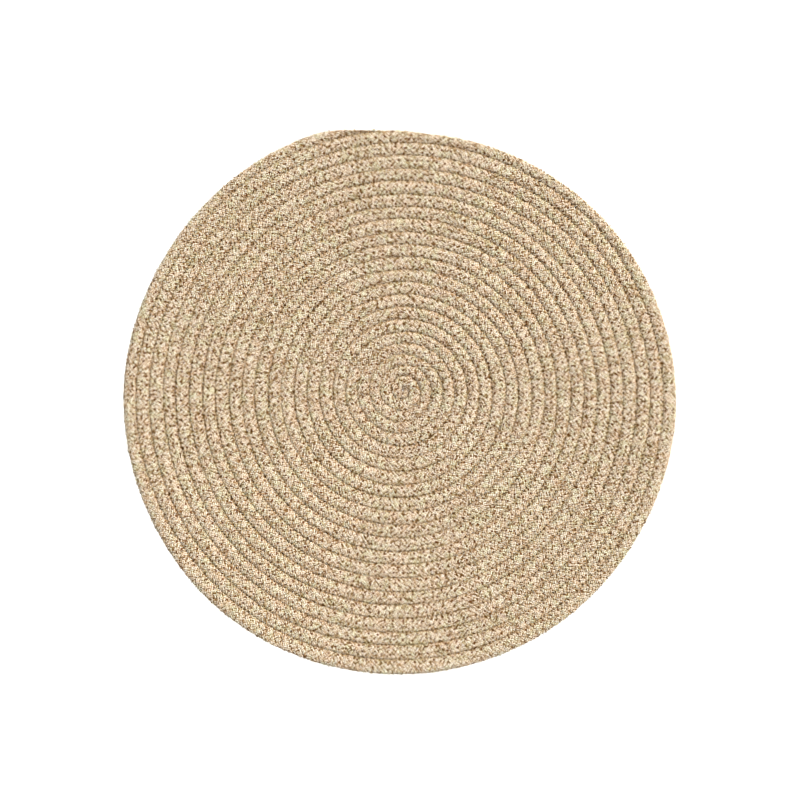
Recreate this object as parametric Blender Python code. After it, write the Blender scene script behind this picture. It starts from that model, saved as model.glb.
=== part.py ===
"""A round rug of natural jute: one long braided cord, wound into a flat spiral
and sewn turn to turn.

Units are metres. The rug lies on the XY plane with +Z up, and the origin is
under the middle of its outline. Bearings are in degrees, clockwise from +Y as
seen from above. A winding counts turns of the spiral outwards from its middle,
and the turn of cord at a winding lies between that winding and the next one.
"""

import math

import bmesh
import bpy
from mathutils import Vector

COLLECTION_NAME = "round_jute_rug"
CORD_NAME = "coiled_braid"

# The cord's section
CROWN_HEIGHT = 0.0100  # top of a turn above the floor
SEAM_HEIGHT = 0.0062  # bottom of the groove where two turns are sewn together
CROWN_FULLNESS = 0.6  # 1 gives a sine arch, less gives a flatter cord
CROWN_UNEVENNESS = 0.00035  # how far the crown rises and falls along the cord
CORD_FACES = 4  # faces across one turn

# The winding
FIRST_WINDING = -1.0  # the inner end is rolled up inside the first full turn
LAST_WINDING = 21.2
STEPS_PER_TURN = 60
MIDDLE_BEARING = 286.0  # where the spiral leaves the middle
TAIL_DEGREES = 18.0  # stretch over which the outer end narrows to nothing

# The middle is wound tightly, and each turn is a little looser than the last
TURN_GROWTH = 0.00111
MIDDLE_SQUEEZE = 0.48  # share of a turn that the tight middle saves
MIDDLE_REACH = 3.0  # windings that are wound this tightly

# The sewing draws the turns closer together behind the middle than in front
PITCH_BEARING_STEP = 30.0
PITCH_BY_BEARING = (
    # bearing, distance from one turn to the next
    (0, 0.02007),
    (30, 0.02015),
    (60, 0.02051),
    (90, 0.02088),
    (120, 0.02105),
    (150, 0.02123),
    (180, 0.02134),
    (210, 0.02141),
    (240, 0.02117),
    (270, 0.02086),
    (300, 0.02034),
    (330, 0.02019),
)

# Small wavers of the sewn line, on top of the pitch
SEAM_WAVERS = (
    # waves per turn, height of the wave
    (2.63, 0.00045),
    (5.37, 0.00035),
    (8.81, 0.00022),
)
WAVER_FREE_WINDING = 1.0  # inside this one the cord is too tightly wound to waver
CROWN_WAVES_PER_TURN = 11.3

# The last turn has no neighbour outside, and its outer side rolls in and down
RIM_TUCK = 0.0018  # how far in, on average round the rug
RIM_TUCK_SWING = 0.0031  # more than that behind the middle, less in front
RIM_TUCK_START_DEGREES = 8.0

# The outer side of the last turn, from the sewn height down to the floor
RIM_PROFILE = (
    # distance in from the outline, height
    (0.0005, 0.0026),
    (0.0030, 0.0),
)

WELD_DISTANCE = 0.00002
JUTE_COLOUR = (0.571, 0.434, 0.287, 1.0)
JUTE_ROUGHNESS = 0.95


def clear_scene():
    for item in list(bpy.data.objects):
        bpy.data.objects.remove(item, do_unlink=True)


def smooth_step(value):
    value = min(1.0, max(0.0, value))
    return value * value * (3.0 - 2.0 * value)


def bearing_at(winding):
    return (360.0 * winding + MIDDLE_BEARING) % 360.0


def pitch_at(bearing):
    """The pitch in one direction, on a smooth closed curve through the table."""
    row = int(bearing // PITCH_BEARING_STEP)
    share = bearing / PITCH_BEARING_STEP - row
    count = len(PITCH_BY_BEARING)
    before, start, end, after = (
        PITCH_BY_BEARING[(row + offset) % count][1] for offset in (-1, 0, 1, 2)
    )
    slope_start = (end - before) / 2.0
    slope_end = (after - start) / 2.0
    eased = smooth_step(share)
    bend = share * (1.0 - share)
    return (
        start * (1.0 - eased)
        + end * eased
        + bend * ((1.0 - share) * slope_start - share * slope_end)
    )


def seam_radius(winding):
    """Distance from the middle of the spiral to the sewn line at a winding."""
    if winding <= 0.0:
        return 0.0
    squeeze = MIDDLE_SQUEEZE * (1.0 - math.exp(-((winding / MIDDLE_REACH) ** 2)))
    pitches = winding * (1.0 + TURN_GROWTH * winding) - squeeze
    waver = sum(
        height * math.sin(math.tau * waves * winding)
        for waves, height in SEAM_WAVERS
    )
    freedom = smooth_step(winding - WAVER_FREE_WINDING)
    return pitches * pitch_at(bearing_at(winding)) + waver * freedom


def tail_share(winding):
    """How much of the cord's width is left: 1, down to 0 at its outer end."""
    return smooth_step((LAST_WINDING - winding) * 360.0 / TAIL_DEGREES)


def rim_tuck(winding):
    """How far the outer side of the last turn is drawn in."""
    past_start = winding - (LAST_WINDING - 1.0)
    share = smooth_step(past_start * 360.0 / RIM_TUCK_START_DEGREES)
    swing = math.cos(math.radians(bearing_at(winding)))
    return (RIM_TUCK + RIM_TUCK_SWING * swing) * share


def crown_share(winding):
    """How much of the cord's arch is left: 1, down to 0 at both ends."""
    rolled_end = min(1.0, math.sqrt(max(0.0, winding - FIRST_WINDING)))
    return tail_share(winding) * rolled_end


def crown_at(winding):
    """Height of the top of the cord at a winding."""
    wave = math.sin(math.tau * CROWN_WAVES_PER_TURN * winding)
    return CROWN_HEIGHT + CROWN_UNEVENNESS * (wave - 1.0) / 2.0


def cord_point(winding, across):
    """A point on the upper side, from the inner seam (0) to the outer one (1)."""
    inner = seam_radius(winding)
    outer = seam_radius(winding + 1.0) - rim_tuck(winding)
    radius = inner + (outer - inner) * tail_share(winding) * across
    arch = math.sin(math.pi * across) ** CROWN_FULLNESS if 0.0 < across < 1.0 else 0.0
    height = SEAM_HEIGHT + (crown_at(winding) - SEAM_HEIGHT) * crown_share(winding) * arch
    angle = math.radians(bearing_at(winding))
    return Vector((radius * math.sin(angle), radius * math.cos(angle), height))


def wind_cord(bm):
    """Winds a long flat strip into the spiral and sews each turn to the next."""
    turns = LAST_WINDING - FIRST_WINDING
    bmesh.ops.create_grid(
        bm,
        x_segments=round(turns * STEPS_PER_TURN),
        y_segments=CORD_FACES,
        size=0.5,
    )
    for vert in bm.verts:
        along = vert.co.x + 0.5
        across = vert.co.y + 0.5
        vert.co = cord_point(FIRST_WINDING + along * turns, across)
    bmesh.ops.remove_doubles(bm, verts=bm.verts[:], dist=WELD_DISTANCE)


def add_rim_and_underside(bm):
    """Rounds the outer side down to the floor and closes the flat underside."""
    edges = [edge for edge in bm.edges if edge.is_boundary]
    inset_so_far = 0.0
    for inset, height in RIM_PROFILE:
        extruded = bmesh.ops.extrude_edge_only(bm, edges=edges)["geom"]
        edges = [item for item in extruded if isinstance(item, bmesh.types.BMEdge)]
        edges = [edge for edge in edges if edge.is_boundary]
        for vert in {vert for edge in edges for vert in edge.verts}:
            radius = vert.co.xy.length
            inward = (radius - (inset - inset_so_far)) / radius
            vert.co = Vector((vert.co.x * inward, vert.co.y * inward, height))
        inset_so_far = inset
    bmesh.ops.contextual_create(bm, geom=edges)


def centre_on_origin(bm):
    """Moves the middle of the outline's box over the origin."""
    xs = [vert.co.x for vert in bm.verts]
    ys = [vert.co.y for vert in bm.verts]
    middle = Vector((min(xs) + max(xs), min(ys) + max(ys), 0.0)) / 2.0
    bmesh.ops.translate(bm, verts=bm.verts[:], vec=-middle)


def jute_material():
    material = bpy.data.materials.new("natural_jute")
    material.use_nodes = True
    shader = material.node_tree.nodes["Principled BSDF"]
    shader.inputs["Base Color"].default_value = JUTE_COLOUR
    shader.inputs["Roughness"].default_value = JUTE_ROUGHNESS
    shader.inputs["Metallic"].default_value = 0.0
    material.diffuse_color = JUTE_COLOUR
    return material


def build_cord(collection):
    bm = bmesh.new()
    wind_cord(bm)
    add_rim_and_underside(bm)
    centre_on_origin(bm)
    bmesh.ops.recalc_face_normals(bm, faces=bm.faces[:])
    mesh = bpy.data.meshes.new(CORD_NAME)
    bm.to_mesh(mesh)
    bm.free()
    mesh.materials.append(jute_material())
    mesh.shade_smooth()
    mesh.set_sharp_from_angle(angle=math.radians(60.0))
    cord = bpy.data.objects.new(CORD_NAME, mesh)
    collection.objects.link(cord)
    return cord


def main():
    clear_scene()
    collection = bpy.data.collections.new(COLLECTION_NAME)
    bpy.context.scene.collection.children.link(collection)
    build_cord(collection)


main()
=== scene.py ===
"""The looks of a round jute rug: one braided cord, wound into a flat spiral, its
turns sewn together by a zigzag thread.

The cord is a flattened tube. Its braid is sixteen columns of small cells around
that tube, and each cell is a pair of yarns that crosses over the next pair. The
cells of one column lean one way and those of the next column the other way. An
inner cord shows through the gaps, its colour painted dark as the shade of that
depth, and the needle left a hole at each turn of the zigzag, painted dark brown
as the shade in it. Shade is also painted between the yarns, at the ends of the
cells and at the seams.

Units are metres, and bearings are degrees clockwise from +Y as seen from above.
A winding counts turns of the spiral outwards from its middle. Along the cord,
"run" is the distance from its inner end, "side" is the distance outwards from
the middle of its width, and "girth" is the place around its section, from 0 at
the outer side over the top to 0.5 and on underneath to 1. The cord's "share" is
1, and falls to 0 at both of its ends.
"""

import math

import bpy
import numpy as np
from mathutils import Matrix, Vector


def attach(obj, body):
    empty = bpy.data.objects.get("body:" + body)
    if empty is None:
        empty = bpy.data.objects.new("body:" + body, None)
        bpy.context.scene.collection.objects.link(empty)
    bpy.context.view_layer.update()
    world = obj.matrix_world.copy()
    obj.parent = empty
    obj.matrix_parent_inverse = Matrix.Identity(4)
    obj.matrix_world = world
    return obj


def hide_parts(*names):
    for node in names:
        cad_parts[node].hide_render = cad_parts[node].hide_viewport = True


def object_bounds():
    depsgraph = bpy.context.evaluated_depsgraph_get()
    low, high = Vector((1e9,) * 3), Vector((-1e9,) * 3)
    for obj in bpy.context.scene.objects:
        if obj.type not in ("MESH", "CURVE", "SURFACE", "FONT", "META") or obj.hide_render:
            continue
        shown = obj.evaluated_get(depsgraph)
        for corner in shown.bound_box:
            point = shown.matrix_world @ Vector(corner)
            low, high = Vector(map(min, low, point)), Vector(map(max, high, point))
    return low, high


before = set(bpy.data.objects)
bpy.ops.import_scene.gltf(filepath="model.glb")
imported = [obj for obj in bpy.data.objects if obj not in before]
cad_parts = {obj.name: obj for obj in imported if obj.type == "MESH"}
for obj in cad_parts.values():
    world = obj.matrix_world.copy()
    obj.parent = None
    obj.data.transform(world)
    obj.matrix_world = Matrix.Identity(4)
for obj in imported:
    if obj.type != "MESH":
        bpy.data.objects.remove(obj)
cad_low, cad_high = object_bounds()

BODY = "root"
CORD_NODE = "coiled_braid"
SEED = 20

# The winding, as the CAD solid has it
FIRST_WINDING = -1.0  # the inner end is rolled up inside the first full turn
LAST_WINDING = 21.2
MIDDLE_BEARING = 286.0  # where the spiral leaves the middle
TAIL_DEGREES = 18.0  # stretch over which the outer end narrows to nothing
TURN_GROWTH = 0.00111  # half of how much wider each turn is than the last, as a share
MIDDLE_SQUEEZE = 0.48  # share of a turn's width that the tight middle saves
MIDDLE_REACH = 3.0  # windings that are wound this tightly
PITCH_BEARING_STEP = 30.0
PITCH_BY_BEARING = np.array((
    # one value for every 30 degrees from +Y: distance from one turn to the next
    0.02007, 0.02015, 0.02051, 0.02088, 0.02105, 0.02123,
    0.02134, 0.02141, 0.02117, 0.02086, 0.02034, 0.02019,
))
SEAM_WAVERS = (
    # waves per turn, height of the wave
    (2.63, 0.00045),
    (5.37, 0.00035),
    (8.81, 0.00022),
)
WAVER_FREE_WINDING = 1.0  # inside this one the cord is too tightly wound to waver
RIM_TUCK = 0.0018  # how far the last turn's outer side rolls in, on average
RIM_TUCK_SWING = 0.0031  # more than that behind the middle, less in front
RIM_TUCK_START_DEGREES = 8.0

# The cord's section is flat with round sides, pressed into its neighbours
CORD_MIDDLE_HEIGHT = 0.0046
CORD_HALF_HEIGHT = 0.0048
SECTION_POWERS = (2.0, 3.8)  # across and up, where 2 and 2 make an ellipse
SIDE_PRESS = 0.0008  # how far each turn is pressed into the next at the seam
HIDDEN_SIDE = 0.97  # past this share of the half width a turn hides its braid
OPEN_TURNS = 1.1  # the outermost turns, which show their outer side
FLOOR_HEIGHT = 0.0001  # the underside is pressed flat just above the floor
END_ROUNDING = 0.4  # power of the cord's share that gives its height at its ends
LEAST_HALF_HEIGHT = 0.0004
WIDTH_MARGIN = 0.0001  # keeps the section open where the cord ends

# The inner cord, coloured dark as painted shade of the depth below the cells
INNER_CORD_DEPTH = 0.0024  # how far its top lies below the section's
INNER_CORD_STEPS_PER_TURN = 60
INNER_CORD_SIDES = 8

# The braid
COLUMNS = 16
CELL_PITCH = 0.00688  # along the cord, from one cell of a column to the next
LEAN_DEGREES = 46.0  # between a cell's yarns and the cord's run
CELL_HALF_LENGTH = 0.0034
CELL_HALF_WIDTH = 0.0026
CELL_TAPER = 0.22  # how much narrower its ends are
CELL_BASE = -0.0009  # where a cell's edges lie, from the section's surface
CELL_DIVE = 0.0006  # how much deeper its ends lie
CELL_DIVE_POWER = 2.5
YARN_ARCH = 0.0017
YARN_ARCH_LOSS = 0.25  # share of the arch that is gone at a cell's ends
CELL_UNEVENNESS = {
    # how far cells differ from each other, as standard deviations
    "along": 0.00045,
    "around": 0.00035,
    "lean": 9.0,
    "width": 0.10,
    "arch": 0.30,
    "level": 0.00018,
    "length": 0.14,
}
TWO_YARNS = (
    # place across the cell, height
    (-1.0, 0.0),
    (-0.5, 1.0),
    (0.0, 0.0),
    (0.5, 1.0),
    (1.0, 0.0),
)
PLAIN_RIDGE = (
    (-1.0, 0.0),
    (0.0, 1.0),
    (1.0, 0.0),
)
BRAID_PIECES = (
    # name, number of pieces, stations along a cell's yarns, profile across them
    ("upper_yarn", 4, 3, TWO_YARNS),
    ("under_yarn", 1, 2, PLAIN_RIDGE),
)
BRAID_ROLL = (
    # how the braid rolls around the cord: columns, radians per metre, start
    (0.9, 2.1, 0.4),
    (0.5, 5.3, 1.9),
    (0.2, 13.7, 0.0),
)
# What is left of a detail near the cord's ends: a multiple of the cord's share,
# and the least share
LIFT_AT_ENDS = (1.5, 0.2)
CELL_WIDTH_AT_ENDS = (1.3, 0.25)

# The tone of each yarn, and the shade painted between the yarns, at cells' ends and at seams
STRAND_PATCH = 0.045  # stretch of a strand that keeps one shade
STRAND_WEIGHT = 0.25  # how much of a yarn's shade comes from its strand
CELL_END_PAINTED_SHADE = 0.5  # painted shade at a cell's ends, where they dive under the next
CELL_END_PAINTED_SHADE_POWER = 3
SEAM_SHADE = 0.30  # how dark the braid is at a seam, where little light comes in
SEAM_SHADE_REACH = 0.0036
MOST_SHADE = 1.5
STREAK_SPREAD = 50.0  # how far apart the cells' places in the streaks' pattern are
STREAK_STEP = 0.37  # and from one leg of thread or loose fibre to the next

# The zigzag thread, which crosses each seam from hole to hole
STITCH_PITCH = 0.0157  # along the seam, from one outer hole to the next
OUTER_REACH = 0.0043  # from the seam to a hole in the turn outside it
INNER_REACH = 0.0086  # and to a hole in the turn inside it
SEWING_START_WINDING = 0.6
THREAD_RADIUS = 0.00060
THREAD_UNEVENNESS = 0.10  # standard deviation of a leg's radius, as a share
THREAD_TONES = (0.3, 1.0)  # the least and the most
THREAD_LIFT = -0.0004  # of the thread's middle, off the section's surface
THREAD_TAUTNESS = 0.15  # 0 lies along the braid, 1 spans the groove
THREAD_DIVE = 0.0034  # how much deeper its ends lie in their holes
THREAD_DIVE_SHARE = 0.28  # of a leg's length, at each end
THREAD_BRIGHTENING = 0.4  # painted shade taken off from a leg's holes to its middle, which keeps the rest as the groove's shade
THREAD_STATIONS = (0.0, 0.12, 0.24, 0.5, 0.76, 0.88, 1.0)
THREAD_CORNERS = (180.0, 120.0, 60.0, 0.0)  # its hidden lower side is left open
NEEDLE_STRAY = (0.0009, 0.0006)  # standard deviations along and across the cord
HOLE_RADIUS = 0.0017
HOLE_DEPTH = 0.0008  # how far the yarns are drawn down at a hole
HOLE_SIZES = (0.5, 1.5)  # drawn between these and then cut to 1: half are full size
HOLE_EDGE = (0.6, 1.4)  # shares of the radius between which the hole's painted shade fades

# Loose fibres: on the surface, round the rim and at the cord's cut end. A pair is
# the least and the most, where no comment says otherwise, and what gives a
# fibre's direction is a share of its length.
FIBRE_STATIONS = (0.0, 0.5)  # of its length; the tip comes after them
FIBRE_SIDES = 3
FIBRE_TAPER = 0.7  # power by which it thins towards its tip
FIBRE_SKEW = 0.1  # keeps the direction that its ring is set out from off its own
SURFACE_FIBRES = {
    "count": 4200,
    "first_winding": 0.2,
    "last_share": 0.998,  # of the cord's length
    "girth": (0.05, 0.45),
    "lean": 25.0,  # deviation from the yarns' lean, in degrees
    "rise": (0.10, 0.35),
    "droop": 0.06,  # how much further the tip comes down than it rises
    "sweep": 0.25,  # deviation
    "root_depth": 0.0003,  # below the yarns' tops
    "length": (0.004, 0.010),
    "radius": (0.00012, 0.00030),
    "tone": (0.2, 1.0),
}
RIM_FIBRES = {
    "count": 3200,
    "girth": (0.03, 0.07),  # mean, deviation
    "along": 0.7,  # deviation
    "around": 0.3,  # deviation
    "bend": 0.35,  # deviation
    "root_height": 0.5,  # share of the yarns' arch
    "length_shape": (3.0, 0.0011),  # shape and scale of a gamma distribution
    "length": (0.001, 0.007),
    "radius": (0.00018, 0.00048),
    "tone": (0.1, 0.9),
}
END_FIBRES = {
    "count": 34,
    "winding": 21.188,  # the cord's cut end
    "spread": 0.0012,  # deviation of the roots along the cord
    "girth": (0.0, 0.25),
    "along": (0.1, 0.35),  # mean, deviation
    "rise": (0.0, 0.4),
    "bend": 0.2,  # deviation
    "root_lift": -0.0005,  # from the section's surface
    "length": (0.003, 0.0075),
    "radius": (0.00025, 0.00045),
    "tone": (0.2, 0.8),
}

# Shades, from dark to light: place, colour
JUTE_SHADES = (
    (0.00, (0.167, 0.080, 0.024)),
    (0.12, (0.420, 0.272, 0.118)),
    (0.34, (0.672, 0.546, 0.346)),
    (0.62, (0.838, 0.753, 0.572)),
    (1.00, (0.946, 0.920, 0.815)),
)
THREAD_SHADES = (
    (0.00, (0.450, 0.286, 0.132)),
    (0.40, (0.608, 0.448, 0.254)),
    (1.00, (0.804, 0.658, 0.439)),
)
# the inner cord's colours, dark as painted shade of the depth below the cells
INNER_PAINTED_SHADES = (
    (0.30, (0.130, 0.060, 0.022)),
    (0.70, (0.290, 0.157, 0.061)),
)
CAST_SHADES = (
    # patches of an olive cast, of none and of a rust one
    (0.32, (0.94, 1.00, 0.90)),
    (0.50, (1.00, 1.00, 1.00)),
    (0.70, (1.00, 0.92, 0.88)),
)
# Painted shade: a brown multiplied in between the yarns, at cells' ends, at seams and along the
# thread
PAINTED_SHADE_TINT = (0.335, 0.205, 0.080, 1.0)
PAINTED_SHADE_STRENGTH = 0.95
# painted shade in a needle hole, a dark brown mixed over the yarn's colour
HOLE_PAINTED_SHADE = (0.110, 0.034, 0.008, 1.0)

# How a yarn's shade is made up of its tone and its streaks
TONE_CONTRAST = 0.50
STREAK_CONTRAST = 7.0
SHADE_LEVEL = -2.96  # brings their sum into the range of the shades
STREAK_STRETCH = (130.0, 760.0, 1.0)  # long along the yarn, narrow across it
STREAK_NOISE = {"Scale": 1.0, "Detail": 1.0, "Roughness": 0.5}
CAST_NOISE = {"Scale": 75.0, "Detail": 3.0}
INNER_NOISE = {"Scale": 900.0, "Detail": 3.0}
NAP = {"Strength": 0.6, "Distance": 0.0005}

# The shader's constant values
YARN_SURFACE = {
    "Roughness": 0.85,
    "Specular IOR Level": 0.06,
    "Sheen Weight": 0.04,
    "Sheen Roughness": 0.5,
}
INNER_SURFACE = {"Roughness": 0.95, "Specular IOR Level": 0.1}
FLOOR_SURFACE = {"Base Color": (0.92, 0.92, 0.92, 1.0), "Roughness": 0.9}

# The studio. The photo looks straight down. Its frame is 800 pixels wide, and the
# middle of the spiral lies at this place in it, counted from the upper left corner.
FRAME_PIXELS = 800.0
METRES_PER_PIXEL = 0.0016376
MIDDLE_PIXEL = (402.70, 389.85)
CAMERA_HEIGHT = 3.0
SENSOR_MILLIMETRES = 36.0
TOWARDS_LIGHT = Vector((1.0, 1.0, 0.9))
KEY_STRENGTH = 5.8
KEY_SPREAD_DEGREES = 24.0
FLOOR_STRENGTH = 4.6
FLOOR_SIZE = 60.0
WHITE = (1.0, 1.0, 1.0, 1.0)
WORLD_STRENGTH = 0.88


def smooth_step(value):
    value = np.clip(value, 0.0, 1.0)
    return value * value * (3.0 - 2.0 * value)


def unit(vectors):
    return vectors / np.linalg.norm(vectors, axis=-1)[..., None]


# --- the winding -----------------------------------------------------------


def bearing_at(winding):
    return (360.0 * winding + MIDDLE_BEARING) % 360.0


def pitch_at(bearing):
    """The pitch in one direction, on a smooth closed curve through the table."""
    place = bearing / PITCH_BEARING_STEP
    row = np.floor(place).astype(int)
    share = place - row
    count = len(PITCH_BY_BEARING)
    before, start, end, after = (
        PITCH_BY_BEARING[(row + offset) % count] for offset in (-1, 0, 1, 2)
    )
    slope_start = (end - before) / 2.0
    slope_end = (after - start) / 2.0
    eased = smooth_step(share)
    bend = share * (1.0 - share)
    return (
        start * (1.0 - eased)
        + end * eased
        + bend * ((1.0 - share) * slope_start - share * slope_end)
    )


def seam_radius(winding):
    """Distance from the spiral's middle to the sewn line at a winding."""
    winding = np.maximum(winding, 0.0)
    squeeze = MIDDLE_SQUEEZE * (1.0 - np.exp(-((winding / MIDDLE_REACH) ** 2)))
    pitches = winding * (1.0 + TURN_GROWTH * winding) - squeeze
    waver = sum(
        height * np.sin(math.tau * waves * winding) for waves, height in SEAM_WAVERS
    )
    freedom = smooth_step(winding - WAVER_FREE_WINDING)
    return pitches * pitch_at(bearing_at(winding)) + waver * freedom


def tail_share(winding):
    """How much of the cord's width is left: 1, down to 0 at its outer end."""
    return smooth_step((LAST_WINDING - winding) * 360.0 / TAIL_DEGREES)


def rim_tuck(winding):
    """How far the outer side of the last turn is drawn in."""
    past_start = winding - (LAST_WINDING - 1.0)
    share = smooth_step(past_start * 360.0 / RIM_TUCK_START_DEGREES)
    return (RIM_TUCK + RIM_TUCK_SWING * np.cos(np.radians(bearing_at(winding)))) * share


def from_spiral_middle(winding, radius):
    angle = np.radians(bearing_at(winding))
    return np.stack([np.sin(angle), np.cos(angle)], 1) * radius[:, None]


def distance_along(points):
    step = np.linalg.norm(np.diff(points, axis=0), axis=1)
    return np.concatenate([[0.0], np.cumsum(step)])


class Cord:
    """The cord's centreline, its frame and its width, as tables over its run."""

    SAMPLES_PER_TURN = 360

    def __init__(self):
        turns = LAST_WINDING - FIRST_WINDING
        samples = int(turns * self.SAMPLES_PER_TURN) + 1
        self.winding = np.linspace(FIRST_WINDING, LAST_WINDING, samples)
        inner = seam_radius(self.winding)
        outer = seam_radius(self.winding + 1.0) - rim_tuck(self.winding)
        rolled_end = np.clip(np.sqrt(self.winding - FIRST_WINDING), 0.0, 1.0)
        self.share = tail_share(self.winding) * rolled_end
        self.half_width = (outer - inner) / 2.0 * tail_share(self.winding)
        rim = from_spiral_middle(self.winding, inner + 2.0 * self.half_width)
        self.middle = self.middle_of_spiral(rim)
        self.centre = self.middle + from_spiral_middle(self.winding, inner + self.half_width)
        self.run = distance_along(self.centre)
        self.length = self.run[-1]
        along = unit(np.gradient(self.centre, axis=0))
        self.outward = np.stack([-along[:, 1], along[:, 0]], 1)

    def middle_of_spiral(self, rim):
        """Where the spiral's middle lies when its outline's box has the same
        middle as the CAD solid's."""
        last = rim[self.winding > LAST_WINDING - 1.0]
        solid = np.array((cad_low + cad_high).xy) / 2.0
        return solid - (last.min(axis=0) + last.max(axis=0)) / 2.0

    def run_at(self, winding):
        return np.interp(winding, self.winding, self.run)

    def at(self, run):
        """Centre, outward direction, half width and end share at each run."""
        run = np.clip(run, 0.0, self.length)
        place = np.interp(run, self.run, np.arange(len(self.run)))
        low = np.minimum(place.astype(int), len(self.run) - 2)
        part = place - low

        def mix(table):
            weight = part if table.ndim == 1 else part[..., None]
            return table[low] * (1.0 - weight) + table[low + 1] * weight

        return mix(self.centre), unit(mix(self.outward)), mix(self.half_width), mix(self.share)

    def half_width_at(self, run):
        return self.at(run)[2]

    def share_at(self, run):
        return self.at(run)[3]


class Section:
    """The flattened section of the cord, measured around its girth."""

    SAMPLES = 1440

    def __init__(self, half_width, half_height):
        turn = np.linspace(0.0, math.tau, self.SAMPLES + 1)
        across, up = SECTION_POWERS
        self.x = np.sign(np.cos(turn)) * np.abs(np.cos(turn)) ** (2.0 / across)
        self.z = np.sign(np.sin(turn)) * np.abs(np.sin(turn)) ** (2.0 / up)
        self.girth = distance_along(np.stack([self.x * half_width, self.z * half_height], 1))
        self.perimeter = self.girth[-1]
        self.girth /= self.perimeter

    def at(self, girth, half_width, half_height):
        """Sideways and upward place, and the surface normal, at a girth."""
        girth = girth % 1.0
        x = np.interp(girth, self.girth, self.x)
        z = np.interp(girth, self.girth, self.z)
        across, up = SECTION_POWERS
        normal_x = across * np.sign(x) * np.abs(x) ** (across - 1.0) / half_width
        normal_z = up * np.sign(z) * np.abs(z) ** (up - 1.0) / half_height
        size = np.hypot(normal_x, normal_z)
        return x * half_width, z * half_height, normal_x / size, normal_z / size

    def height(self, side, half_width):
        """Height of the upper side above the middle of the cord."""
        across, up = SECTION_POWERS
        x = np.clip(np.abs(side) / (half_width + SIDE_PRESS), 0.0, 1.0)
        return CORD_HALF_HEIGHT * (1.0 - x**across) ** (1.0 / up)


cord = Cord()
section = Section(float(np.median(cord.half_width)) + SIDE_PRESS, CORD_HALF_HEIGHT)


def left_at_ends(share, rule):
    """How much of a detail is left where the cord has this share of its size."""
    multiple, least = rule
    return np.clip(share * multiple, least, 1.0)


def on_cord(run, girth, lift, depth=0.0):
    """Points at a run and girth, lifted off the section's surface. depth makes
    the whole section lower without making it narrower."""
    centre, outward, half_width, share = cord.at(run)
    width = half_width + SIDE_PRESS * share + WIDTH_MARGIN
    height = (CORD_HALF_HEIGHT - depth) * share**END_ROUNDING
    height = np.maximum(height, LEAST_HALF_HEIGHT)
    side, up, normal_side, normal_up = section.at(girth, width, height)
    lift = lift * left_at_ends(share, LIFT_AT_ENDS)
    ground = centre + outward * (side + lift * normal_side)[..., None]
    z = np.maximum(CORD_MIDDLE_HEIGHT + up + lift * normal_up, FLOOR_HEIGHT)
    return np.concatenate([ground, z[..., None]], -1)


def directions_on_cord(run, girth):
    """Unit directions along the cord, around it and out of its surface."""
    _, outward, half_width, _ = cord.at(run)
    _, _, side, up = section.at(girth, half_width + SIDE_PRESS, CORD_HALF_HEIGHT)
    level = np.zeros(run.shape)
    along = np.stack([outward[..., 1], -outward[..., 0], level], -1)
    outward = np.stack([outward[..., 0], outward[..., 1], level], -1)
    upward = np.array((0.0, 0.0, 1.0))
    around = upward * side[..., None] - outward * up[..., None]
    normal = outward * side[..., None] + upward * up[..., None]
    return along, around, normal


def side_at(run, girth):
    """The side of a place on the section's surface."""
    half_width = cord.half_width_at(run)
    return section.at(girth, half_width + SIDE_PRESS, CORD_HALF_HEIGHT)[0]


# --- meshes ----------------------------------------------------------------


def spread(parts, shape):
    """Three arrays, each spread over all points, as one array of vectors."""
    return np.stack([np.broadcast_to(part, shape) for part in parts], -1)


def mesh_object(name, points, faces, material, values=None):
    """An object from arrays: points (..., 3), faces (n, 3 or 4), and values for
    each point that the material reads by name, a tuple of three as a vector."""
    mesh = bpy.data.meshes.new(name)
    count, corners = faces.shape
    mesh.vertices.add(points.size // 3)
    mesh.vertices.foreach_set("co", points.astype(np.float32).ravel())
    mesh.loops.add(faces.size)
    mesh.loops.foreach_set("vertex_index", faces.astype(np.int32).ravel())
    mesh.polygons.add(count)
    mesh.polygons.foreach_set("loop_start", np.arange(0, faces.size, corners, dtype=np.int32))
    mesh.update(calc_edges=True)
    mesh.validate()
    mesh.shade_smooth()
    shape = points.shape[:-1]
    for key, value in (values or {}).items():
        vector = isinstance(value, tuple)
        table = spread(value, shape) if vector else np.broadcast_to(value, shape)
        layer = mesh.attributes.new(key, "FLOAT_VECTOR" if vector else "FLOAT", "POINT")
        layer.data.foreach_set("vector" if vector else "value", table.astype(np.float32).ravel())
    mesh.materials.append(material)
    item = bpy.data.objects.new(name, mesh)
    bpy.context.scene.collection.objects.link(item)
    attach(item, BODY)
    return item


def grid_faces(rows, columns, wrap=False):
    """Quads of a grid of points, its columns closed into a ring if wrap is set."""
    row = np.arange(rows - 1)[:, None]
    column = np.arange(columns if wrap else columns - 1)[None, :]
    after = (column + 1) % columns
    quads = [
        row * columns + column,
        (row + 1) * columns + column,
        (row + 1) * columns + after,
        row * columns + after,
    ]
    return np.stack([quad.ravel() for quad in np.broadcast_arrays(*quads)], 1)


def repeat_faces(faces, count, points_each):
    """One small mesh's faces, again for each of many such meshes."""
    first = (np.arange(count) * points_each)[:, None, None]
    return (first + faces[None]).reshape(-1, faces.shape[1])


# --- the inner cord --------------------------------------------------------


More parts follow.
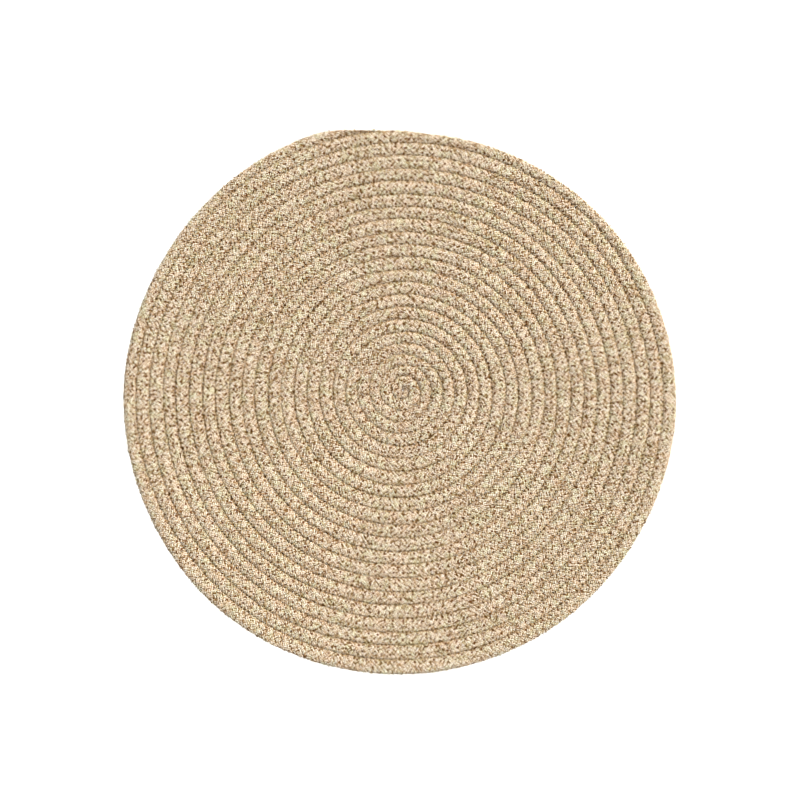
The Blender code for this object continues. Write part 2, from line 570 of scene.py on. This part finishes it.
def make_inner_cord(material):
    """A closed tube below the cells, its colour painted dark as the shade of the depth that
    shows between them.
    """
    steps = int((LAST_WINDING - FIRST_WINDING) * INNER_CORD_STEPS_PER_TURN)
    around = INNER_CORD_SIDES
    run = cord.run_at(np.linspace(FIRST_WINDING, LAST_WINDING, steps))[:, None]
    girth = (np.arange(around) / around)[None, :]
    run, girth = np.broadcast_arrays(run, girth)
    points = on_cord(run, girth, np.zeros(run.shape), INNER_CORD_DEPTH)
    faces = grid_faces(steps, around, wrap=True)
    ends = []
    for first, order in ((0, 1), ((steps - 1) * around, -1)):
        ring = first + np.arange(around)[::order]
        for corner in range(1, around - 2, 2):
            ends.append([ring[0], ring[corner], ring[corner + 1], ring[corner + 2]])
    faces = np.concatenate([faces, np.array(ends)])
    return mesh_object("inner_cord", points, faces, material)


# --- the sewing ------------------------------------------------------------


class Sewing:
    """The places where the needle went down, by turns outside and inside the
    seam, each as a run and side on the cord."""

    def __init__(self, rng):
        self.winding = cord.winding[cord.winding >= 0.0]
        seam = from_spiral_middle(self.winding, seam_radius(self.winding))
        self.seam_run = distance_along(seam)
        self.start = np.interp(SEWING_START_WINDING, self.winding, self.seam_run)
        count = int((self.seam_run[-1] - self.start) / STITCH_PITCH * 2.0)
        number = np.arange(count)
        inside = number % 2 == 1
        seam_run = self.start + number * STITCH_PITCH / 2.0
        winding = np.interp(seam_run, self.seam_run, self.winding)
        stray_along, stray_across = NEEDLE_STRAY
        self.run = cord.run_at(winding - inside) + rng.normal(0.0, stray_along, count)
        half_width = cord.half_width_at(self.run)
        self.from_seam = np.where(inside, -INNER_REACH, OUTER_REACH)
        self.from_seam = self.from_seam + rng.normal(0.0, stray_across, count)
        self.side = self.from_seam + np.where(inside, half_width, -half_width)
        self.hole_size = rng.uniform(*HOLE_SIZES, count).clip(0.0, 1.0)

    def nearest(self, run, side):
        """Run, side and size of the needle hole nearest to each place."""
        winding = np.interp(run, cord.run, cord.winding)
        found = []
        for inside in (0, 1):
            seam_run = np.interp(winding + inside, self.winding, self.seam_run)
            stitch = np.round((seam_run - self.start) / STITCH_PITCH - 0.5 * inside)
            number = np.clip(2 * stitch.astype(int) + inside, 0, len(self.run) - 1)
            away = np.hypot(self.run[number] - run, self.side[number] - side)
            found.append((number, away))
        (outer, outer_away), (inner, inner_away) = found
        number = np.where(outer_away < inner_away, outer, inner)
        return self.run[number], self.side[number], self.hole_size[number]


def between_holes(values, place):
    """Values along each leg of thread, from those at its two holes."""
    return values[:-1, None, None] * (1.0 - place) + values[1:, None, None] * place


def thread_height(sewing, half_width, place, out_of_hole):
    """Height of the thread's middle: along the braid, a little lifted where it
    crosses the groove, and down in its holes."""
    width = between_holes(half_width, place)
    from_seam = np.abs(between_holes(sewing.from_seam, place))
    on_braid = section.height(width - from_seam, width)
    chord = between_holes(section.height(sewing.side, half_width), place)
    spare = THREAD_TAUTNESS * np.maximum(chord - on_braid, 0.0)
    dive = THREAD_DIVE * (1.0 - out_of_hole)
    return CORD_MIDDLE_HEIGHT + on_braid + spare + THREAD_LIFT - dive


def make_sewing_thread(sewing, rng, material):
    """Straight legs from hole to hole, as arrays of legs, stations and corners."""
    centre, outward, half_width, _ = cord.at(sewing.run)
    hole = centre + outward * sewing.side[:, None]
    leg = (hole[1:] - hole[:-1])[:, None, None, :]
    count = len(leg)
    each = (count, 1, 1)
    length = np.linalg.norm(leg, axis=-1)
    place = np.array(THREAD_STATIONS)[None, :, None]
    to_hole = np.minimum(place, 1.0 - place)
    out_of_hole = smooth_step(to_hole / THREAD_DIVE_SHARE)
    radius = THREAD_RADIUS * rng.normal(1.0, THREAD_UNEVENNESS, each)
    angle = np.radians(np.array(THREAD_CORNERS))[None, None, :]
    sideways = radius * np.cos(angle)
    x = between_holes(hole[:, 0], place) - leg[..., 1] / length * sideways
    y = between_holes(hole[:, 1], place) + leg[..., 0] / length * sideways
    z = thread_height(sewing, half_width, place, out_of_hole) + radius * np.sin(angle)
    points = np.stack([x, y, z], -1)
    stations, corners = len(THREAD_STATIONS), len(THREAD_CORNERS)
    faces = repeat_faces(grid_faces(stations, corners), count, stations * corners)
    values = {
        "tone": rng.uniform(*THREAD_TONES, each),
        # painted shade: full where a leg dives into its holes, less in its middle, where it lies
        # in the groove
        "painted_crevice_shade": 1.0 - THREAD_BRIGHTENING * out_of_hole,
        "fibre": (place * length, sideways, np.arange(count)[:, None, None] * STREAK_STEP),
        "hole": (to_hole * length, 0.0, 1.0),
    }
    return mesh_object("sewing_thread", points, faces, material, values)


# --- the braid -------------------------------------------------------------


def braid_roll(run):
    """How far the braid has rolled around the cord, in columns."""
    return sum(columns * np.sin(run * rate + start) for columns, rate, start in BRAID_ROLL)


class Cells:
    """The places of many cells of the braid: run, girth, lean and strand."""

    def __init__(self, run, girth, lean, strand):
        self.run = run
        self.girth = girth
        self.lean = lean
        self.strand = strand

    def chosen(self, which):
        return Cells(self.run[which], self.girth[which], self.lean[which], self.strand[which])


def all_cells(rng):
    """Every cell that is not hidden in a seam."""
    count = int(cord.length / CELL_PITCH) - 1
    index, column = np.meshgrid(np.arange(count), np.arange(COLUMNS), indexing="ij")
    lean = np.where(column % 2 == 0, 1, -1)
    strand = (column - 2 * lean * index) % COLUMNS
    run = (index + 0.5 + 0.5 * (column % 2)) * CELL_PITCH
    run = run + rng.normal(0.0, CELL_UNEVENNESS["along"], run.shape)
    girth = (column + 0.5 + braid_roll(run)) / COLUMNS
    stray = rng.normal(0.0, CELL_UNEVENNESS["around"], run.shape)
    girth = (girth + stray / section.perimeter) % 1.0
    cells = Cells(run.ravel(), girth.ravel(), lean.ravel(), strand.ravel())
    sideways = np.interp(cells.girth, section.girth, section.x)
    open_side = cells.run > cord.run_at(LAST_WINDING - OPEN_TURNS)
    return cells.chosen((sideways > -HIDDEN_SIDE) & ((sideways < HIDDEN_SIDE) | open_side))


class Pillows:
    """The shapes of many cells, as arrays of cells, stations along the yarns and
    ribs across them."""

    def __init__(self, cells, rng, stations, profile):
        self.cells = cells
        self.each = (len(cells.run), 1, 1)
        self.middle_run = cells.run.reshape(self.each)
        self.middle_girth = cells.girth.reshape(self.each)
        self.place_along = np.linspace(-1.0, 1.0, stations)[None, :, None]
        self.place_across, self.profile = (
            np.array(column)[None, None, :] for column in zip(*profile)
        )
        self.set_place(rng)
        self.side = side_at(self.run, self.girth)
        self.tone = self.tones(rng)

    def uneven(self, rng, size, key):
        return size * rng.normal(1.0, CELL_UNEVENNESS[key], self.each)

    def set_place(self, rng):
        """Sets each point's run, girth and lift off the section's surface."""
        u, v = self.place_along, self.place_across
        lean = self.cells.lean.reshape(self.each)
        end_share = left_at_ends(cord.share_at(self.middle_run), CELL_WIDTH_AT_ENDS)
        tilt = np.radians(rng.normal(LEAN_DEGREES, CELL_UNEVENNESS["lean"], self.each))
        wide = self.uneven(rng, CELL_HALF_WIDTH, "width") * end_share
        first_arch = self.uneven(rng, YARN_ARCH, "arch")
        second_arch = self.uneven(rng, YARN_ARCH, "arch")
        high = first_arch + (second_arch - first_arch) * (v + 1.0) / 2.0
        along = u * self.uneven(rng, CELL_HALF_LENGTH, "length")
        across = v * wide * (1.0 - CELL_TAPER * u**2)
        slant = (along * np.sin(tilt) - across * np.cos(tilt)) * lean
        self.run = self.middle_run + along * np.cos(tilt) + across * np.sin(tilt)
        self.girth = self.middle_girth + slant / section.perimeter
        level = CELL_BASE + rng.normal(0.0, CELL_UNEVENNESS["level"], self.each)
        ridge = high * self.profile * (1.0 - YARN_ARCH_LOSS * u**2)
        self.lift = level - CELL_DIVE * np.abs(u) ** CELL_DIVE_POWER + ridge
        self.fibre = (along, v * wide, rng.random(self.each) * STREAK_SPREAD)

    def tones(self, rng):
        """The shade of each yarn: partly its strand's, partly its own."""
        patches = int(cord.length / STRAND_PATCH) + 1
        strand_tones = np.random.default_rng(SEED + 4).random((COLUMNS, patches))
        patch = np.clip((self.cells.run / STRAND_PATCH).astype(int), 0, patches - 1)
        strand_tone = strand_tones[self.cells.strand, patch].reshape(self.each)
        first, second = rng.random((2, *self.each))
        own_tone = np.where(self.place_across < 0.0, first, second)
        return STRAND_WEIGHT * strand_tone + (1.0 - STRAND_WEIGHT) * own_tone

    def painted_crevice_shade(self):
        """How much shade is painted on each point: between the yarns, where a cell's ends dive
        under their neighbours, and at a seam."""
        to_seam = cord.half_width_at(self.run) - np.abs(self.side)
        last_turn = self.middle_run > cord.run_at(LAST_WINDING - 1.0)
        at_rim = (self.side > 0.0) & last_turn
        at_seam = SEAM_SHADE * (1.0 - smooth_step(to_seam / SEAM_SHADE_REACH)) * ~at_rim
        at_end = CELL_END_PAINTED_SHADE * np.abs(self.place_along) ** CELL_END_PAINTED_SHADE_POWER
        return np.clip(1.0 - self.profile + at_end + at_seam, 0.0, MOST_SHADE)

    def to_hole(self, sewing):
        """Each point's place from the needle hole nearest to its cell, along the
        cord and across it, and that hole's size. The underside has no holes."""
        middle_side = side_at(self.middle_run, self.middle_girth)
        run, side, size = sewing.nearest(self.middle_run, middle_side)
        return self.run - run, self.side - side, size * (self.middle_girth < 0.5)

    def faces(self):
        """The faces of every cell, with their outer side up."""
        stations, ribs = self.place_along.size, self.place_across.size
        one = grid_faces(stations, ribs)
        faces = repeat_faces(one, len(self.cells.run), stations * ribs)
        leans_on = np.repeat(self.cells.lean > 0, len(one))[:, None]
        return np.where(leans_on, faces, faces[:, ::-1])


def make_cells(name, pillows, sewing, material):
    """One piece of many cells: each is a small pillow of yarns, drawn down where
    the needle went in."""
    off_run, off_side, size = pillows.to_hole(sewing)
    pull = size * np.exp(-((np.hypot(off_run, off_side) / HOLE_RADIUS) ** 2))
    points = on_cord(pillows.run, pillows.girth, pillows.lift - pull * HOLE_DEPTH)
    values = {
        "tone": pillows.tone,
        # painted shade between the yarns, at cells' ends and at seams
        "painted_crevice_shade": pillows.painted_crevice_shade(),
        "fibre": pillows.fibre,
        "hole": (off_run, off_side, size),
    }
    return mesh_object(name, points, pillows.faces(), material, values)


def make_braid(sewing, rng, material):
    """The cells, finer above and at the rim than on the hidden underside."""
    cells = all_cells(rng)
    upper = cells.girth < 0.5
    pieces = []
    for (name, parts, stations, profile), chosen in zip(BRAID_PIECES, (upper, ~upper)):
        for number, part in enumerate(np.array_split(np.flatnonzero(chosen), parts), 1):
            pillows = Pillows(cells.chosen(part), rng, stations, profile)
            pieces.append(make_cells(f"{name}_{number}", pillows, sewing, material))
    return pieces


# --- loose fibres ----------------------------------------------------------


def fibre_points(roots, heading, bend, length, radius):
    """Rings of points at each fibre's stations, and its tip."""
    unlike_heading = np.roll(heading, 1, axis=1) + FIBRE_SKEW
    side = unit(np.cross(heading, unlike_heading))
    other = np.cross(heading, side)
    points = []
    for place in FIBRE_STATIONS:
        middle = roots + (heading * place + bend * place**2) * length[:, None]
        size = (radius * (1.0 - place) ** FIBRE_TAPER)[:, None]
        for corner in range(FIBRE_SIDES):
            angle = math.tau * corner / FIBRE_SIDES
            points.append(middle + (side * math.cos(angle) + other * math.sin(angle)) * size)
    points.append(roots + (heading + bend) * length[:, None])
    points = np.stack(points, 1)
    points[..., 2] = np.maximum(points[..., 2], FLOOR_HEIGHT)
    return points


def fibre_faces():
    """One fibre's faces: its root, the sides between its rings, and its tip."""
    faces = [[2, 1, 0]]
    for ring in range(len(FIBRE_STATIONS) - 1):
        for corner in range(FIBRE_SIDES):
            here = ring * FIBRE_SIDES + corner
            after = ring * FIBRE_SIDES + (corner + 1) % FIBRE_SIDES
            faces.append([here, after, after + FIBRE_SIDES])
            faces.append([here, after + FIBRE_SIDES, here + FIBRE_SIDES])
    tip = len(FIBRE_STATIONS) * FIBRE_SIDES
    for corner in range(FIBRE_SIDES):
        last = tip - FIBRE_SIDES
        faces.append([last + corner, last + (corner + 1) % FIBRE_SIDES, tip])
    return np.array(faces)


def make_fibres(name, kind, roots, heading, bend, length, rng, material):
    """Many thin tapered fibres: each runs from its root along its heading, and
    its tip is carried off by bend."""
    count = kind["count"]
    radius = rng.uniform(*kind["radius"], count)
    points = fibre_points(roots, heading, bend, length, radius)
    along = np.array([*np.repeat(FIBRE_STATIONS, FIBRE_SIDES), 1.0])
    values = {
        "tone": rng.uniform(*kind["tone"], count)[:, None],
        "painted_crevice_shade": 0.0,
        "fibre": (along * length[:, None], 0.0, np.arange(count)[:, None] * STREAK_STEP),
        "hole": (0.0, 0.0, 0.0),
    }
    faces = repeat_faces(fibre_faces(), count, points.shape[1])
    return mesh_object(name, points, faces, material, values)


def make_surface_fibres(material):
    """Fibres that worked loose and lie on the braid, more or less along it."""
    rng = np.random.default_rng(SEED + 1)
    kind = SURFACE_FIBRES
    count = kind["count"]
    first = cord.run_at(kind["first_winding"])
    run = rng.uniform(first, cord.length * kind["last_share"], count)
    girth = rng.uniform(*kind["girth"], count)
    along, around, normal = directions_on_cord(run, girth)
    lean = np.radians(rng.normal(LEAN_DEGREES, kind["lean"], count))
    angle = lean * rng.choice((-1.0, 1.0), count)
    angle = (angle + math.pi * rng.integers(0, 2, count))[:, None]
    flat = along * np.cos(angle) + around * np.sin(angle)
    rise = rng.uniform(*kind["rise"], count)[:, None]
    sweep = along * rng.normal(0.0, kind["sweep"], count)[:, None]
    lift = CELL_BASE + YARN_ARCH - kind["root_depth"]
    roots = on_cord(run, girth, np.full(count, lift))
    length = rng.uniform(*kind["length"], count)
    heading = flat + normal * rise
    bend = sweep - normal * (rise + kind["droop"])
    return make_fibres("surface_fibres", kind, roots, heading, bend, length, rng, material)


def make_rim_fibres(material):
    """The fuzz that stands out round the rug's outline."""
    rng = np.random.default_rng(SEED + 2)
    kind = RIM_FIBRES
    count = kind["count"]
    run = rng.uniform(cord.run_at(LAST_WINDING - 1.0), cord.length, count)
    girth = rng.normal(*kind["girth"], count) % 1.0
    along, around, normal = directions_on_cord(run, girth)
    heading = normal + along * rng.normal(0.0, kind["along"], count)[:, None]
    heading = unit(heading + around * rng.normal(0.0, kind["around"], count)[:, None])
    bend = along * rng.normal(0.0, kind["bend"], count)[:, None]
    lift = CELL_BASE + kind["root_height"] * YARN_ARCH
    roots = on_cord(run, girth, np.full(count, lift))
    length = rng.gamma(*kind["length_shape"], count).clip(*kind["length"])
    return make_fibres("rim_fibres", kind, roots, heading, bend, length, rng, material)


def make_end_fibres(material):
    """The small frayed tuft where the cord's outer end was cut."""
    rng = np.random.default_rng(SEED + 3)
    kind = END_FIBRES
    count = kind["count"]
    run = cord.run_at(kind["winding"]) + rng.normal(0.0, kind["spread"], count)
    girth = rng.uniform(*kind["girth"], count)
    along, _, normal = directions_on_cord(run, np.zeros(count))
    heading = normal + along * rng.normal(*kind["along"], count)[:, None]
    heading[:, 2] += rng.uniform(*kind["rise"], count)
    heading = unit(heading)
    bend = along * rng.normal(0.0, kind["bend"], count)[:, None]
    roots = on_cord(run, girth, np.full(count, kind["root_lift"]))
    length = rng.uniform(*kind["length"], count)
    return make_fibres("frayed_end", kind, roots, heading, bend, length, rng, material)


# --- materials -------------------------------------------------------------


class Shading:
    """A material's node tree, with short ways to add and join nodes."""

    def __init__(self, name, surface):
        self.material = bpy.data.materials.new(name)
        self.material.use_nodes = True
        self.tree = self.material.node_tree
        self.shader = self.tree.nodes["Principled BSDF"]
        for key, value in surface.items():
            self.give(value, self.shader.inputs[key])

    def give(self, value, socket):
        """Joins another node's output to a socket, or sets it to a constant."""
        if isinstance(value, bpy.types.NodeSocket):
            self.tree.links.new(value, socket)
        else:
            socket.default_value = value

    def add(self, kind, inputs=None, **settings):
        node = self.tree.nodes.new(kind)
        for key, value in settings.items():
            setattr(node, key, value)
        for key, value in (inputs or {}).items():
            self.give(value, node.inputs[key])
        return node

    def attribute(self, name, output="Fac"):
        return self.add("ShaderNodeAttribute", attribute_name=name).outputs[output]

    def noise(self, place, settings):
        return self.add("ShaderNodeTexNoise", {"Vector": place, **settings}).outputs["Fac"]

    def calculate(self, operation, *values):
        node = self.add("ShaderNodeMath", dict(enumerate(values)), operation=operation)
        return node.outputs[0]

    def ramp(self, factor, stops):
        node = self.add("ShaderNodeValToRGB", {"Fac": factor})
        elements = node.color_ramp.elements
        while len(elements) < len(stops):
            elements.new(0.5)
        for element, (place, colour) in zip(elements, stops):
            element.position = place
            element.color = (*colour, 1.0)
        return node.outputs["Color"]

    def mix(self, factor, first, second, blend="MIX"):
        node = self.add("ShaderNodeMix", data_type="RGBA", blend_type=blend)
        values = {("Factor", "VALUE"): factor, ("A", "RGBA"): first, ("B", "RGBA"): second}
        for which, value in values.items():
            self.give(value, next(s for s in node.inputs if (s.name, s.type) == which))
        return next(s for s in node.outputs if s.type == "RGBA")


def hole_shade_mask(shading):
    """Where shade is painted into a needle hole: 1 in the hole nearest to a cell, 0 outside it.
    """
    hole = shading.attribute("hole", "Vector")
    parts = shading.add("ShaderNodeSeparateXYZ", {"Vector": hole})
    along, across, size = (parts.outputs[axis] for axis in "XYZ")
    flat = shading.add("ShaderNodeCombineXYZ", {"X": along, "Y": across}).outputs["Vector"]
    away = shading.add("ShaderNodeVectorMath", {0: flat}, operation="LENGTH").outputs["Value"]
    start, end = (HOLE_RADIUS * share for share in HOLE_EDGE)
    inside = shading.add(
        "ShaderNodeMapRange",
        {"Value": away, "From Min": start, "From Max": end, "To Min": 1.0, "To Max": 0.0},
        interpolation_type="SMOOTHSTEP",
    ).outputs["Result"]
    return shading.calculate("MULTIPLY", inside, size)


def yarn_material(name, shades):
    """Jute yarn: its tone by cell, fine fibres along it, a rough nap, shade painted
    into its crevices, and shade painted into the needle hole nearest each cell."""
    shading = Shading(name, YARN_SURFACE)
    fibre = shading.attribute("fibre", "Vector")
    stretched = shading.add("ShaderNodeMapping", {"Vector": fibre, "Scale": STREAK_STRETCH})
    streak = shading.noise(stretched.outputs["Vector"], STREAK_NOISE)
    tone = shading.attribute("tone")
    shade = shading.calculate("MULTIPLY_ADD", tone, TONE_CONTRAST, SHADE_LEVEL)
    shade = shading.calculate("MULTIPLY_ADD", streak, STREAK_CONTRAST, shade)
    colour = shading.ramp(shade, shades)
    place = shading.add("ShaderNodeTexCoord").outputs["Object"]
    cast = shading.ramp(shading.noise(place, CAST_NOISE), CAST_SHADES)
    colour = shading.mix(1.0, colour, cast, "MULTIPLY")
    # painted shade between the yarns, at cells' ends, at seams and along the thread
    painted_crevice_shade = shading.calculate("MULTIPLY", shading.attribute("painted_crevice_shade"), PAINTED_SHADE_STRENGTH)
    colour = shading.mix(painted_crevice_shade, colour, PAINTED_SHADE_TINT, "MULTIPLY")
    # painted shade in the needle holes
    colour = shading.mix(hole_shade_mask(shading), colour, HOLE_PAINTED_SHADE)
    shading.give(colour, shading.shader.inputs["Base Color"])
    bump = shading.add("ShaderNodeBump", {**NAP, "Height": streak})
    shading.give(bump.outputs["Normal"], shading.shader.inputs["Normal"])
    return shading.material


def inner_material():
    """The inner cord's jute, painted dark as the shade below the cells."""
    shading = Shading("inner_jute_painted_shade", INNER_SURFACE)
    place = shading.add("ShaderNodeTexCoord").outputs["Object"]
    colour = shading.ramp(shading.noise(place, INNER_NOISE), INNER_PAINTED_SHADES)
    shading.give(colour, shading.shader.inputs["Base Color"])
    return shading.material


# --- the studio ------------------------------------------------------------


def make_floor():
    bpy.ops.mesh.primitive_plane_add(size=FLOOR_SIZE, location=(0.0, 0.0, 0.0))
    floor = bpy.context.object
    floor.name = "floor"
    floor.data.materials.append(Shading("pale_floor", FLOOR_SURFACE).material)
    return floor


def make_sun(name, energy, shown_on):
    """A sun from the photo's upper right that lights one group of objects."""
    sun = bpy.data.lights.new(name, "SUN")
    sun.energy = energy
    sun.angle = math.radians(KEY_SPREAD_DEGREES)
    lamp = bpy.data.objects.new(name, sun)
    bpy.context.scene.collection.objects.link(lamp)
    lamp.rotation_euler = TOWARDS_LIGHT.to_track_quat("Z", "Y").to_euler()
    group = bpy.data.collections.new(name + "_receivers")
    for item in shown_on:
        group.objects.link(item)
    lamp.light_linking.receiver_collection = group
    return lamp


def make_lights(rug, floor):
    """Soft white light all round, a key on the rug, and the same light on the
    floor with no shadow, as a studio's lit white base gives."""
    world = bpy.data.worlds.new("soft_studio")
    world.use_nodes = True
    background = world.node_tree.nodes["Background"]
    background.inputs["Color"].default_value = WHITE
    background.inputs["Strength"].default_value = WORLD_STRENGTH
    bpy.context.scene.world = world
    make_sun("key", KEY_STRENGTH, rug)
    base = make_sun("base", FLOOR_STRENGTH, [floor])
    blockers = bpy.data.collections.new("base_blockers")
    blockers.objects.link(floor)
    base.light_linking.blocker_collection = blockers


def make_camera():
    data = bpy.data.cameras.new("camera")
    data.sensor_width = SENSOR_MILLIMETRES
    data.lens = CAMERA_HEIGHT / (FRAME_PIXELS * METRES_PER_PIXEL) * SENSOR_MILLIMETRES
    camera = bpy.data.objects.new("camera", data)
    half = FRAME_PIXELS / 2.0
    camera.location = (
        cord.middle[0] + (half - MIDDLE_PIXEL[0]) * METRES_PER_PIXEL,
        cord.middle[1] - (half - MIDDLE_PIXEL[1]) * METRES_PER_PIXEL,
        CAMERA_HEIGHT + cad_high.z,
    )
    bpy.context.scene.collection.objects.link(camera)
    bpy.context.scene.camera = camera
    bpy.context.scene.view_settings.view_transform = "Standard"


rng = np.random.default_rng(SEED)
jute = yarn_material("jute_yarn", JUTE_SHADES)
sewing = Sewing(rng)
inner_cord = make_inner_cord(inner_material())
outer_pieces = [
    *make_braid(sewing, rng, jute),
    make_sewing_thread(sewing, rng, yarn_material("sewing_thread", THREAD_SHADES)),
    make_surface_fibres(jute),
    make_rim_fibres(jute),
    make_end_fibres(jute),
]
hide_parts(CORD_NODE)
make_lights([inner_cord, *outer_pieces], make_floor())
make_camera()
